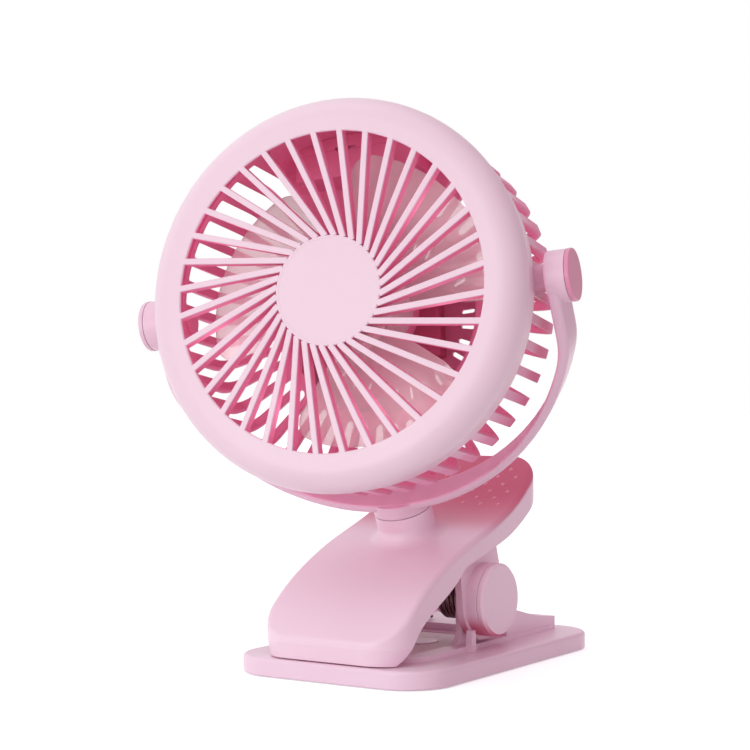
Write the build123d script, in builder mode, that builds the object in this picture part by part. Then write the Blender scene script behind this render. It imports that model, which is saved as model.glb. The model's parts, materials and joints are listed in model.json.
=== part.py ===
from build123d import *
import os
from math import cos, pi, radians, sin, sqrt, tan

# Clip-on table fan, in millimetres.
# The frame stands on the base: +Z up, -Y to the front of the clip, +X to its right.
# The origin is the middle of the base plate's underside.
# The yoke and the head are modelled as the fan stands: swivelled and tilted a little.

os.makedirs("parts", exist_ok=True)

# ---------------------------------------------------------------- fits
running_gap = 0.06  # radial, a pin or shaft that turns in a hole
press_gap = 0.02  # radial, a pin or plug that is held in its hole
face_gap = 0.1  # between two pieces of one body that lie face to face
moving_gap = 0.3  # between faces of pieces that move past each other

# ---------------------------------------------------------------- base plate
base_width = 80.4
base_depth = 122.7
base_thickness = 6.2
base_corner = 16.9
base_edge_round = 1.3
plateau_width = 54.0
plateau_front = 47.0  # distance in front of the pivot
plateau_rear = 57.0
plateau_rise = 1.6
plateau_corner = 11.0
pad_width = 41.0
pad_front = 43.0
pad_rear = 12.0
pad_corner = 9.5
pad_thickness = 1.5
pad_window = (24.0, 13.0)  # oval window over a moulded boss
pad_window_front = 9.0
sole_inset = 9.0  # anti-slip sheet under the base
sole_thickness = 1.2

# ---------------------------------------------------------------- clip pivot
pivot_height = 22.7
pin_radius = 2.0
ear_inside = 20.7  # half of the width between the two base ears
ear_thickness = 2.5
ear_radius = 10.0
ear_foot_radius = 5.5
lobe_radius = 14.0  # jaw ear around the pivot
jaw_ear_thickness = 2.5
clip_boss_radius = 12.6
clip_boss_height = 4.5
clip_cap_thickness = 2.3
clip_cap_chamfer = 0.9
cap_plug_radius = 8.0
cap_plug_depth = 1.5
stop_fin = (3.0, 2.6, 13.3)  # width, depth and top height of the fin beside each ear
stop_fin_front = 13.0

# ---------------------------------------------------------------- rear block of the base
block_half_width = 26.0
block_front = 16.0
block_rear = 55.0
block_corner = 4.0
deck_height = 10.4

# ---------------------------------------------------------------- torsion springs
wire_diameter = 1.2
coil_radius = 6.9  # to the middle of the wire
coil_pitch = 1.72
coil_turns = 5
coil_inner_end = 10.95  # distance of the first turn from the middle of the clip
lower_leg_angle = -40.0
upper_leg_angle = 62.0
lower_leg_length = 26.3
upper_leg_length = 40.0
sleeve_wall_gap = 0.3

# ---------------------------------------------------------------- upper jaw
jaw_half_width = 28.5
jaw_wall = 2.4
jaw_side_wall = 2.6
jaw_corner = 12.5
tail_corner = 13.0
jaw_edge_round = 2.0
jaw_front = 60.3
tail_rear = 41.3
nose_crease = 13.6  # height of the edge between the nose's top and its front wall
nose_draft = 12.0  # degrees that the wall under the crease leans inwards
nose_draft_top = 12.0
lip_bottom = 6.6
neck_radius = 10.1
neck_lean = 22.7  # degrees that the swivel axis leans to the front
neck_seam_y = -11.1
neck_seam_z = 53.8
neck_depth = 12.0  # from the seam down to the inner shelf
neck_root_round = 4.4
dot_radius = 0.75
dot_rise = 0.4
dot_rows = 6
dot_first_row = 10.4
dot_row_pitch = 3.9
dot_columns = 6
dot_column_pitch = 7.3
jaw_ear_top_front = (-16.2, 38.0)
jaw_ear_top_rear = (8.0, 43.5)
cavity_front = 49.0  # distance in front of the pivot

# ---------------------------------------------------------------- head
tilt = -29.6  # degrees that the head is tipped up about the knobs
front_plane = 23.2  # front face of the grille, from the tilt axis
ring_radius = 65.6
ring_face_width = 12.6  # from the opening to the outside
ring_round = 8.0
ring_wall = 1.8
ring_draft = 1.4  # the rear edge of the ring is this much smaller in radius
seam_depth = 4.8  # where the front ring meets the rear shell
seam_gap = 0.25
lip_width = 2.4
lip_depth = 1.1
spoke_count = 36
spoke_offset = 10.0
spoke_width = 2.05
spoke_depth = 3.9
spoke_phase = 3.6
hub_radius = 18.3
hub_depth = 2.6
hub_recess = 1.2
hub_rim_width = 1.0
spoke_edge_round = 0.3

shell_inset = 1.7  # the shell is this much smaller in radius than the ring
shell_rim_taper = 0.2
shell_wall = 3.0
shell_round = 8.0
shell_rear = 28.0
spigot_wall = 1.4
spigot_front = 6.4
spigot_root = 2.6
slot_pitches = 46
slots_left_out = 8  # closed sector at the top
slot_share = 0.65
slot_inner_radius = 38.7
slot_front = 3.5
slot_front_at_pivot = -5.6
slots_at_pivot = 6.0  # degrees to each side of the pivots
slot_end_round = 1.2

pod_radius = 37.2
pod_draft = 1.5
pod_rear = 43.0
pod_wall = 2.2
cap_thickness = 2.4
cap_round = 1.6
vent_count = 30
vent_rim = 6.7  # from the outer end of a vent to the edge of the cap
vent_length = 5.2
vent_width = 1.6
vent_phase = 1.5

opening_radius = ring_radius - ring_face_width
ring_rear_radius = ring_radius - ring_draft
shell_radius = ring_radius - shell_inset
shell_rim_radius = shell_radius - shell_rim_taper
spigot_radius = ring_rear_radius - ring_wall - moving_gap
pod_tip_radius = pod_radius - pod_draft
hub_disc_radius = hub_radius - hub_rim_width

# ---------------------------------------------------------------- yoke
swivel = 14.6  # degrees that the yoke is turned in the photograph's pose
yoke_clearance = 6.6  # between the head's ring and the arc of the yoke
yoke_thickness = 3.2
yoke_side_clearance = 2.7  # between the head's ring and the arms
yoke_side_thickness = 3.9
yoke_width = 16.0
yoke_blend = 26.0
yoke_inner_round = 0.7
yoke_outer_round = 1.9
yoke_foot = 1.9  # from the arc down to the neck seam
yoke_boss_radius = 8.6
yoke_boss_rise = 2.7
neck_seam_gap = 0.3
stem_radius = 4.5
washer_radius = 7.0
washer_thickness = 1.0
washer_room = 3.0
neck_screw_head = (4.0, 2.4)  # radius and height
neck_screw_shank = 1.7
neck_screw_reach = 9.0
pivot_washer_radius = 4.8
pivot_washer_thickness = 0.8
pivot_screw_head = (3.2, 1.8)
pivot_screw_shank = 1.2
pivot_screw_reach = 8.0
knob_radius = 8.7
knob_thickness = 1.9
knob_seam = 0.2
knob_round = 0.6
counterbore_radius = 6.5
counterbore_depth = 2.9
knob_plug_wall = 1.4
knob_plug_depth = 1.8
journal_radius = 3.0
stub_radius = 4.6
stub_gap = 0.2  # between the stub's shoulder and the boss of the yoke
stub_bury = 4.0  # the stub starts this deep below the outside of the shell

yoke_inner = ring_radius + yoke_clearance
yoke_outer = yoke_inner + yoke_thickness
yoke_side_inner = ring_radius + yoke_side_clearance
yoke_side = yoke_side_inner + yoke_side_thickness
yoke_boss_outer = yoke_side + yoke_boss_rise
knob_outer = yoke_boss_outer + knob_thickness
pivot_rise = yoke_outer + yoke_foot  # from the neck seam to the tilt axis
journal_end = yoke_boss_outer - counterbore_depth + face_gap
stub_end = yoke_side_inner - stub_gap
stub_root = shell_radius - stub_bury

# ---------------------------------------------------------------- motor and impeller
motor_radius = 12.0
motor_front = -6.0
motor_length = 18.0
motor_boss_radius = 4.0
motor_boss_height = 1.6
shaft_radius = 1.0
shaft_front = 8.5
shaft_rear = -21.8
mount_radius = 14.0
mount_front = -13.0
mount_plate = 2.0
mount_floor_gap = 0.6  # between the motor and the mount's plate, with the plate's own fit
mount_arms = 3
mount_arm_phase = 30.0
mount_arm_width = 6.4
mount_screw_circle = 31.5
mount_boss_radius = 3.2
mount_boss_height = 9.0
mount_screw_head = (2.0, 1.4)
mount_screw_shank = 0.8
mount_screw_reach = 6.0
impeller_hub_radius = 18.0
impeller_hub_wall = 1.6
impeller_hub_rear = -10.0
impeller_hub_front = 12.5
impeller_hub_round = 3.0
impeller_boss_radius = 3.2
blade_count = 3
blade_clearance = 4.1  # between the blades and the opening
blade_span = 88.0  # degrees
blade_rise = 8.0  # each end lies this far before or behind the pivot plane
blade_thickness = 1.3
blade_phase = 159.5
blade_corner = 7.0

blade_tip = opening_radius - blade_clearance

# ---------------------------------------------------------------- controls and battery
box_half_width = 22.5
box_inset = 17.5  # from the outside of the shell down to the bottom of the box
box_height = 10.6  # of the part that holds the board
box_front = -9.4
box_wall = 1.2
brow_rise = 0.8  # the top of the box stands this much forward
brow_vents = 2
brow_vent_size = (3.0, 0.9)
brow_vent_pitch = 4.6
brow_vent_side = -3.5  # middle of the two vents
board_thickness = 1.2
board_rear = -20.4
button_radius = 3.3
button_flange = 0.7
button_flange_thickness = 0.8
button_proud = 1.2
switch_size = 6.0
switch_height = 1.4
plunger_radius = 1.7
plunger_height = 0.7
inlet_size = (9.0, 3.3)
inlet_wall = 0.5
inlet_side = 13.5
light_side = -13.5
light_radius = 1.5
cell_size = (36.0, 30.0, 6.0)

# ================================================================ frames
lean_down = Vector(0, -sin(radians(neck_lean)), cos(radians(neck_lean)))
seam_centre = Vector(0, neck_seam_y, neck_seam_z)
tilt_centre = seam_centre + lean_down * pivot_rise
knob_axis = Vector(1, 0, 0).rotate(Axis((0, 0, 0), lean_down), swivel)
yoke_front = knob_axis.cross(lean_down)
head_front = yoke_front.rotate(Axis((0, 0, 0), knob_axis), tilt)

neck_plane = Plane(origin=seam_centre, x_dir=knob_axis, z_dir=lean_down)
yoke_plane = Plane(origin=tilt_centre, x_dir=knob_axis, z_dir=yoke_front)
head_plane = Plane(origin=tilt_centre, x_dir=knob_axis, z_dir=head_front)
side_plane = Plane.YZ  # local x is the frame's Y, local y its Z


def ring_point(radius, angle):
    return (radius * cos(radians(angle)), radius * sin(radians(angle)))


def head_turn(angle):
    """Place of a piece of the head that is drawn at the origin and repeated around its axis."""
    return head_plane.location * Location((0, 0, 0), (0, 0, angle))


# ================================================================ base plate
plateau_top = base_thickness + plateau_rise
pad_seat = plateau_top - pad_thickness

foot_middle = ear_foot_radius * sqrt(0.5)
foot_top = plateau_top + ear_foot_radius

with BuildSketch(side_plane) as ear_profile:
    with BuildLine():
        Line((block_rear - block_corner, base_thickness), (-ear_radius - ear_foot_radius, base_thickness))
        Line((-ear_radius - ear_foot_radius, base_thickness), (-ear_radius - ear_foot_radius, plateau_top))
        ThreePointArc(
            (-ear_radius - ear_foot_radius, plateau_top),
            (-ear_radius - ear_foot_radius + foot_middle, foot_top - foot_middle),
            (-ear_radius, foot_top),
        )
        Line((-ear_radius, foot_top), (-ear_radius, pivot_height))
        ThreePointArc(
            (-ear_radius, pivot_height),
            (0, pivot_height + ear_radius),
            (ear_radius, pivot_height),
        )
        Spline(
            (ear_radius, pivot_height),
            (block_front + 1, pivot_height - 5.1),
            (block_front + 8.5, deck_height + 5.4),
            (block_front + 20.5, deck_height + 2.4),
            (block_rear - block_corner, deck_height + 0.4),
            tangents=[(0, -1), (1, -0.12)],
        )
        Line((block_rear - block_corner, deck_height + 0.4), (block_rear - block_corner, base_thickness))
    make_face()

with BuildSketch(side_plane) as wall_profile:
    with BuildLine():
        Line((block_rear, base_thickness), (block_front, base_thickness))
        Line((block_front, base_thickness), (block_front, pivot_height - 4.5))
        Spline(
            (block_front, pivot_height - 4.5),
            (block_front + 8.5, deck_height + 5.4),
            (block_front + 20.5, deck_height + 2.4),
            (block_rear, deck_height),
            tangents=[(1, -0.5), (1, -0.12)],
        )
        Line((block_rear, deck_height), (block_rear, base_thickness))
    make_face()

with BuildPart() as base_plate:
    with BuildSketch():
        RectangleRounded(base_width, base_depth, base_corner)
    extrude(amount=base_thickness)
    fillet(base_plate.faces().sort_by(Axis.Z)[-1].edges(), base_edge_round)
    fillet(base_plate.faces().sort_by(Axis.Z)[0].edges(), base_edge_round * 0.6)
    with BuildSketch(Plane.XY.offset(base_thickness - 1)):
        with Locations((0, (plateau_rear - plateau_front) / 2)):
            RectangleRounded(plateau_width, plateau_front + plateau_rear, plateau_corner)
    extrude(amount=plateau_rise + 1, taper=8)
    # ears, with a rounded foot to the front and a long slope to the rear
    for side in (-1, 1):
        extrude(ear_profile.sketch.moved(Location((side * ear_inside, 0, 0))), amount=side * ear_thickness)
    # rear block: two side walls outside the ears, and a deck between them
    for side in (-1, 1):
        extrude(
            wall_profile.sketch.moved(Location((side * ear_inside, 0, 0))),
            amount=side * (block_half_width - ear_inside),
        )
    with BuildSketch(Plane.XY.offset(base_thickness)):
        with Locations((0, (block_front + block_rear) / 2)):
            Rectangle(2 * ear_inside + 1, block_rear - block_front)
    extrude(amount=deck_height - base_thickness)
    rear_corners = (
        base_plate.edges()
        .filter_by(Axis.Z)
        .filter_by(lambda e: abs(e.center().Y - block_rear) < 0.1 and abs(e.center().X) > ear_inside)
    )
    fillet(rear_corners, block_corner)
    # pad recess with a raised oval boss
    with BuildSketch(Plane.XY.offset(pad_seat)):
        with Locations((0, (pad_rear - pad_front) / 2)):
            RectangleRounded(pad_width, pad_front + pad_rear, pad_corner)
        with Locations((0, -pad_window_front)):
            SlotOverall(pad_window[0] - 2 * moving_gap, pad_window[1] - 2 * moving_gap, mode=Mode.SUBTRACT)
    extrude(amount=pad_thickness + 1, mode=Mode.SUBTRACT)
    # stop fins beside the jaw ears
    for side in (-1, 1):
        fin_inside = ear_inside + ear_thickness + moving_gap + jaw_ear_thickness + moving_gap
        with BuildSketch(Plane.XY.offset(base_thickness - 1)):
            with Locations((side * (fin_inside + stop_fin[0] / 2), stop_fin[1] / 2 - stop_fin_front)):
                Rectangle(stop_fin[0], stop_fin[1])
        extrude(amount=stop_fin[2] - base_thickness + 1, taper=2)
    # pin holes and the recess of the sole sheet
    with BuildSketch(side_plane.offset(-base_width / 2)):
        with Locations((0, pivot_height)):
            Circle(pin_radius + running_gap)
    extrude(amount=base_width, mode=Mode.SUBTRACT)
    with BuildSketch():
        RectangleRounded(
            base_width - 2 * sole_inset,
            base_depth - 2 * sole_inset,
            base_corner - sole_inset / 2,
        )
    extrude(amount=sole_thickness, mode=Mode.SUBTRACT)
base_plate.part.label = "base_plate"

with BuildPart() as base_pad:
    with BuildSketch(Plane.XY.offset(pad_seat)):
        with Locations((0, (pad_rear - pad_front) / 2)):
            RectangleRounded(
                pad_width - 2 * face_gap,
                pad_front + pad_rear - 2 * face_gap,
                pad_corner - face_gap,
            )
        with Locations((0, -pad_window_front)):
            SlotOverall(*pad_window, mode=Mode.SUBTRACT)
        for side in (-1, 1):
            with Locations((side * (ear_inside + ear_thickness / 2), 0)):
                Rectangle(
                    ear_thickness + 2 * moving_gap,
                    4 * (ear_radius + ear_foot_radius),
                    mode=Mode.SUBTRACT,
                )
    extrude(amount=pad_thickness - 0.4)
    chamfer(base_pad.faces().sort_by(Axis.Z)[-1].edges(), 0.3)
base_pad.part.label = "base_pad"

with BuildPart() as sole_pad:
    with BuildSketch():
        RectangleRounded(
            base_width - 2 * sole_inset - 2 * face_gap,
            base_depth - 2 * sole_inset - 2 * face_gap,
            base_corner - sole_inset / 2 - face_gap,
        )
    extrude(amount=sole_thickness)
sole_pad.part.label = "sole_pad"

# ================================================================ clip pin, sleeve and caps
jaw_ear_inside = ear_inside + ear_thickness + moving_gap
jaw_ear_outside = jaw_ear_inside + jaw_ear_thickness
clip_boss_outside = jaw_ear_outside + clip_boss_height
pin_half_length = clip_boss_outside - 0.4

with BuildPart() as clip_pin:
    with BuildSketch(side_plane.offset(-pin_half_length)):
        with Locations((0, pivot_height)):
            Circle(pin_radius)
    extrude(amount=2 * pin_half_length)
    chamfer(clip_pin.edges().filter_by(GeomType.CIRCLE), 0.4)
clip_pin.part.label = "clip_pin"

with BuildPart() as spring_sleeve:
    sleeve_half = ear_inside - face_gap
    with BuildSketch(side_plane.offset(-sleeve_half)):
        with Locations((0, pivot_height)):
            Circle(coil_radius - wire_diameter / 2 - sleeve_wall_gap)
            Circle(pin_radius + running_gap, mode=Mode.SUBTRACT)
    extrude(amount=2 * sleeve_half)
    with BuildSketch(side_plane.offset(-coil_inner_end + wire_diameter)):
        with Locations((0, pivot_height)):
            Circle(coil_radius - wire_diameter / 2 - sleeve_wall_gap)
            Circle(pin_radius + 1.4, mode=Mode.SUBTRACT)
    extrude(amount=2 * (coil_inner_end - wire_diameter), mode=Mode.SUBTRACT)
spring_sleeve.part.label = "spring_sleeve"

clip_caps = {}
for side, name in ((-1, "clip_cap_left"), (1, "clip_cap_right")):
    cap_inner = side * (clip_boss_outside + knob_seam)
    with BuildPart() as clip_cap:
        with BuildSketch(side_plane.offset(cap_inner)):
            with Locations((0, pivot_height)):
                Circle(clip_boss_radius)
        extrude(amount=side * clip_cap_thickness)
        outer_face = clip_cap.faces().sort_by(Axis.X)[-1 if side > 0 else 0]
        chamfer(outer_face.edges(), clip_cap_chamfer)
        with BuildSketch(side_plane.offset(cap_inner)):
            with Locations((0, pivot_height)):
                Circle(cap_plug_radius - face_gap)
                Circle(cap_plug_radius - 2, mode=Mode.SUBTRACT)
        extrude(amount=-side * (cap_plug_depth - face_gap + knob_seam))
    clip_cap.part.label = name
    clip_caps[name] = clip_cap.part

# ================================================================ torsion springs
def biarc(start, start_tangent, end, end_tangent):
    """Two arcs that leave start and reach end along the given directions."""
    gap = end - start
    turn = start_tangent + end_tangent
    square = turn.dot(turn) - 4
    middle = gap.dot(turn)
    reach = (middle - sqrt(middle * middle - square * gap.dot(gap))) / square
    first = start + start_tangent * reach
    second = end - end_tangent * reach
    joint = (first + second) / 2
    TangentArc(start, joint, tangent=start_tangent)
    TangentArc(joint, end, tangent=(second - first).normalized())


coil_slope = coil_pitch / (2 * pi * coil_radius)
coil_start = 90 + lower_leg_angle  # the wire leaves the coil at right angles to its radius
coil_end = upper_leg_angle - 90 + 360 * coil_turns
coil_quarters = 4 * coil_turns


def coil_point(angle, side):
    along = coil_inner_end + wire_diameter / 2 + coil_pitch * (angle - coil_start) / 360
    return Vector(
        side * along,
        coil_radius * cos(radians(angle)),
        pivot_height + coil_radius * sin(radians(angle)),
    )


def coil_tangent(angle, side):
    return Vector(side * coil_slope, -sin(radians(angle)), cos(radians(angle))).normalized()


def least_gap(points, near):
    """Least clear distance between stretches of wire that lie over `near` points apart."""
    best = 1e9
    for i, first in enumerate(points):
        for second in points[i + near:]:
            best = min(best, (first - second).length)
    return best - wire_diameter


springs = {}
for side, name in ((-1, "torsion_spring_left"), (1, "torsion_spring_right")):
    lower_end = coil_point(coil_start, side) - coil_tangent(coil_start, side) * lower_leg_length
    upper_end = coil_point(coil_end, side) + coil_tangent(coil_end, side) * upper_leg_length
    turn_angles = [
        coil_start + (coil_end - coil_start) * i / coil_quarters for i in range(coil_quarters + 1)
    ]
    with BuildPart() as torsion_spring:
        with BuildLine() as wire_path:
            Line(lower_end, coil_point(coil_start, side))
            for here, there in zip(turn_angles, turn_angles[1:]):
                biarc(
                    coil_point(here, side),
                    coil_tangent(here, side),
                    coil_point(there, side),
                    coil_tangent(there, side),
                )
            Line(coil_point(coil_end, side), upper_end)
        with BuildSketch(Plane(origin=lower_end, z_dir=coil_tangent(coil_start, side))):
            Circle(wire_diameter / 2)
        sweep(path=wire_path.wires()[0])
    torsion_spring.part.label = name
    springs[name] = torsion_spring.part
    samples = 60 * coil_turns
    coil_samples = [
        coil_point(coil_start + (coil_end - coil_start) * i / samples, side) for i in range(samples + 1)
    ]
    leg_steps = [i / 40 for i in range(41)]
    lower_leg = [lower_end + (coil_samples[0] - lower_end) * s for s in leg_steps]
    upper_leg = [coil_samples[-1] + (upper_end - coil_samples[-1]) * s for s in leg_steps]
    print(name, "least gap to itself", round(least_gap(lower_leg + coil_samples + upper_leg, 30), 2))

# ================================================================ upper jaw
nose_tip = -jaw_front - 1.5  # the plan cuts this off
top_points = [
    (nose_tip, nose_crease - 0.8),
    (-57.2, 16.6),
    (-51.0, 22.0),
    (-42.3, 28.8),
    (-31.5, 35.0),
    (-16.0, 41.7),
    (0.0, 47.0),
    (13.0, 51.8),
    (24.0, 57.9),
    (33.0, 65.2),
    (tail_rear, 72.4),
]
rear_edge_points = [(tail_rear, 66.8), (36.2, 57.3), (29.0, 51.5), (16.3, 44.5), (6.0, 41.0)]
front_edge_points = [(-16.0, 35.0), (-31.2, 25.1), (-46.0, 16.0), (-51.5, 9.6), (-54.5, lip_bottom)]

with BuildSketch(side_plane) as jaw_profile:
    with BuildLine() as jaw_outline:
        top_edge = Spline(*top_points)
        Line(top_points[0], (nose_tip, lip_bottom))
        Line((nose_tip, lip_bottom), front_edge_points[-1])
        Spline(*front_edge_points[::-1])
        Line(front_edge_points[0], rear_edge_points[-1])
        Spline(*rear_edge_points[::-1])
        Line(rear_edge_points[0], top_points[-1])
    make_face()

with BuildSketch(side_plane) as cavity_profile:
    with BuildLine():
        inner_points = []
        for share in [0.16 + 0.84 * i / 11 for i in range(12)]:
            inward = (top_edge % share).rotate(Axis.Z, -90)
            spot = (top_edge @ share) + inward * jaw_wall
            inner_points.append((spot.X, spot.Y))
        Spline(*inner_points)
        Line(inner_points[-1], (inner_points[-1][0], 0))
        Line((inner_points[-1][0], 0), (inner_points[0][0], 0))
        Line((inner_points[0][0], 0), inner_points[0])
    make_face()

with BuildPart() as jaw_cavity:
    cavity_half = jaw_half_width - jaw_side_wall
    extrude(cavity_profile.sketch.moved(Location((-cavity_half, 0, 0))), amount=2 * cavity_half)
    with BuildSketch():
        with Locations((0, (tail_rear - jaw_wall - cavity_front) / 2)):
            RectangleRounded(
                2 * (jaw_half_width - jaw_side_wall),
                tail_rear - jaw_wall + cavity_front,
                jaw_corner - jaw_side_wall,
            )
    extrude(amount=90, mode=Mode.INTERSECT)

with BuildSketch(side_plane) as jaw_ear_profile:
    with BuildLine():
        Line(jaw_ear_top_front, (-lobe_radius, pivot_height))
        ThreePointArc(
            (-lobe_radius, pivot_height),
            (0, pivot_height - lobe_radius),
            (lobe_radius * cos(radians(18)), pivot_height + lobe_radius * sin(radians(18))),
        )
        Line(
            (lobe_radius * cos(radians(18)), pivot_height + lobe_radius * sin(radians(18))),
            jaw_ear_top_rear,
        )
        Line(jaw_ear_top_rear, jaw_ear_top_front)
    make_face()

with BuildSketch(Plane.XY.offset(nose_draft_top)) as jaw_plan:
    with Locations((0, (tail_rear - jaw_front) / 2)):
        Rectangle(2 * jaw_half_width, tail_rear + jaw_front)
    fillet(jaw_plan.vertices().group_by(Axis.Y)[0], jaw_corner)
    fillet(jaw_plan.vertices().group_by(Axis.Y)[-1], tail_corner)

with BuildPart() as jaw_block:
    extrude(jaw_plan.sketch, amount=90)
    extrude(jaw_plan.sketch, amount=nose_draft_top, dir=(0, 0, -1), taper=nose_draft)

with BuildPart() as upper_jaw:
    extrude(jaw_profile.sketch.moved(Location((-jaw_half_width, 0, 0))), amount=2 * jaw_half_width)
    add(jaw_block.part, mode=Mode.INTERSECT)
    top_face = upper_jaw.faces().filter_by(GeomType.PLANE, reverse=True).sort_by(SortBy.AREA)[-1]
    fillet(top_face.edges(), jaw_edge_round)
    # neck column with a spreading root
    with BuildSketch(neck_plane.offset(-neck_depth)):
        Circle(neck_radius)
    extrude(amount=neck_depth)
    neck_wall = upper_jaw.faces().filter_by(GeomType.CYLINDER).sort_by_distance(seam_centre)[0]
    fillet(neck_wall.edges().sort_by(Axis.Z)[0], neck_root_round)
    # ears, lobes and the bosses under the caps
    add(jaw_cavity.part, mode=Mode.SUBTRACT)
    for side in (-1, 1):
        extrude(
            jaw_ear_profile.sketch.moved(Location((side * jaw_ear_inside, 0, 0))),
            amount=side * jaw_ear_thickness,
        )
        with BuildSketch(side_plane.offset(side * jaw_ear_outside)):
            with Locations((0, pivot_height)):
                Circle(clip_boss_radius)
        extrude(amount=side * clip_boss_height)
        with BuildSketch(side_plane.offset(side * (clip_boss_outside - cap_plug_depth))):
            with Locations((0, pivot_height)):
                Circle(cap_plug_radius)
        extrude(amount=side * cap_plug_depth, mode=Mode.SUBTRACT)
    with BuildSketch(side_plane.offset(-jaw_half_width - 5)):
        with Locations((0, pivot_height)):
            Circle(pin_radius + press_gap)
    extrude(amount=2 * jaw_half_width + 10, mode=Mode.SUBTRACT)
    with BuildSketch(neck_plane.offset(-neck_depth)):
        Circle(washer_radius + moving_gap)
    extrude(amount=-washer_room, mode=Mode.SUBTRACT)
    with BuildSketch(neck_plane.offset(-neck_depth)):
        Circle(stem_radius + running_gap)
    extrude(amount=neck_depth, mode=Mode.SUBTRACT)
    # grip dots on the tail
    for row in range(dot_rows):
        share = 1 - (dot_first_row + row * dot_row_pitch) / top_edge.length
        spot = top_edge @ share
        inward = (top_edge % share).rotate(Axis.Z, -90)
        centre = spot + inward * (dot_radius - dot_rise)
        columns = dot_columns + row % 2
        for column in range(columns):
            across = (column - (columns - 1) / 2) * dot_column_pitch
            with Locations((across, centre.X, centre.Y)):
                Sphere(dot_radius)
upper_jaw.part.label = "upper_jaw"


# ================================================================ yoke
knob_plane = Plane(origin=tilt_centre, x_dir=lean_down, z_dir=knob_axis)
neck_bottom = -neck_depth - face_gap  # where the washer lies, from the seam
neck_top = neck_bottom - washer_thickness

with BuildSketch() as yoke_inside:
    Circle(yoke_inner)
    Rectangle(2 * yoke_side_inner, 2 * yoke_outer, mode=Mode.INTERSECT)
    fillet(yoke_inside.vertices(), yoke_blend)

with BuildSketch() as yoke_outline:
    Circle(yoke_outer)
    Rectangle(2 * yoke_side, 2 * yoke_outer, mode=Mode.INTERSECT)
    fillet(yoke_outline.vertices(), yoke_blend)
    with Locations((0, yoke_outer)):
        Rectangle(2 * yoke_outer, 2 * yoke_outer, mode=Mode.SUBTRACT)


def on_yoke_rim(edge):
    """Whether an edge runs along the front or the rear face of the yoke, below the pivots."""
    place = yoke_plane.to_local_coords(edge.center())
    return abs(place.Z) > yoke_width / 2 - 0.01 and place.Y < -0.01


with BuildPart() as yoke:
    strip_start = yoke_plane.offset(-yoke_width / 2).location
    extrude(yoke_outline.sketch.moved(strip_start), amount=yoke_width)
    fillet(yoke.edges().filter_by(on_yoke_rim), yoke_outer_round)
    extrude(yoke_inside.sketch.moved(strip_start), amount=yoke_width, mode=Mode.SUBTRACT)
    fillet(yoke.edges(Select.LAST).filter_by(on_yoke_rim), yoke_inner_round)
    for side in (-1, 1):
        with BuildSketch(knob_plane.offset(side * yoke_side_inner)):
            Circle(yoke_boss_radius)
        extrude(amount=side * (yoke_boss_outer - yoke_side_inner))
        with BuildSketch(knob_plane.offset(side * yoke_boss_outer)):
            Circle(counterbore_radius)
        extrude(amount=-side * counterbore_depth, mode=Mode.SUBTRACT)
    with BuildSketch(knob_plane.offset(-yoke_outer)):
        Circle(journal_radius + running_gap)
    extrude(amount=2 * yoke_outer, mode=Mode.SUBTRACT)
    with BuildSketch(neck_plane.offset(neck_seam_gap)):
        Circle(neck_radius)
    extrude(amount=yoke_foot + yoke_thickness - 2 * neck_seam_gap)
    with BuildSketch(neck_plane.offset(face_gap - neck_depth)):
        Circle(stem_radius)
    extrude(amount=neck_depth + 1)
    with BuildSketch(neck_plane.offset(face_gap - neck_depth)):
        Circle(neck_screw_shank + press_gap)
    extrude(amount=neck_screw_reach, mode=Mode.SUBTRACT)
yoke.part.label = "yoke"

with BuildPart() as neck_washer:
    with BuildSketch(neck_plane.offset(neck_top)):
        Circle(washer_radius)
        Circle(neck_screw_shank + face_gap, mode=Mode.SUBTRACT)
    extrude(amount=washer_thickness)
neck_washer.part.label = "neck_washer"

with BuildPart() as neck_screw:
    with BuildSketch(neck_plane.offset(neck_top - face_gap)):
        Circle(neck_screw_head[0])
    extrude(amount=-neck_screw_head[1])
    fillet(neck_screw.faces().sort_by(Axis.Z)[0].edges(), 0.8)
    with BuildSketch(neck_plane.offset(neck_top - face_gap - neck_screw_head[1])):
        Rectangle(3.6, 0.8)
        Rectangle(0.8, 3.6)
    extrude(amount=1.2, mode=Mode.SUBTRACT)
    with BuildSketch(neck_plane.offset(neck_top - face_gap - 0.4)):
        Circle(neck_screw_shank)
    extrude(amount=neck_screw_reach + 0.6)
neck_screw.part.label = "neck_screw"

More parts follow.
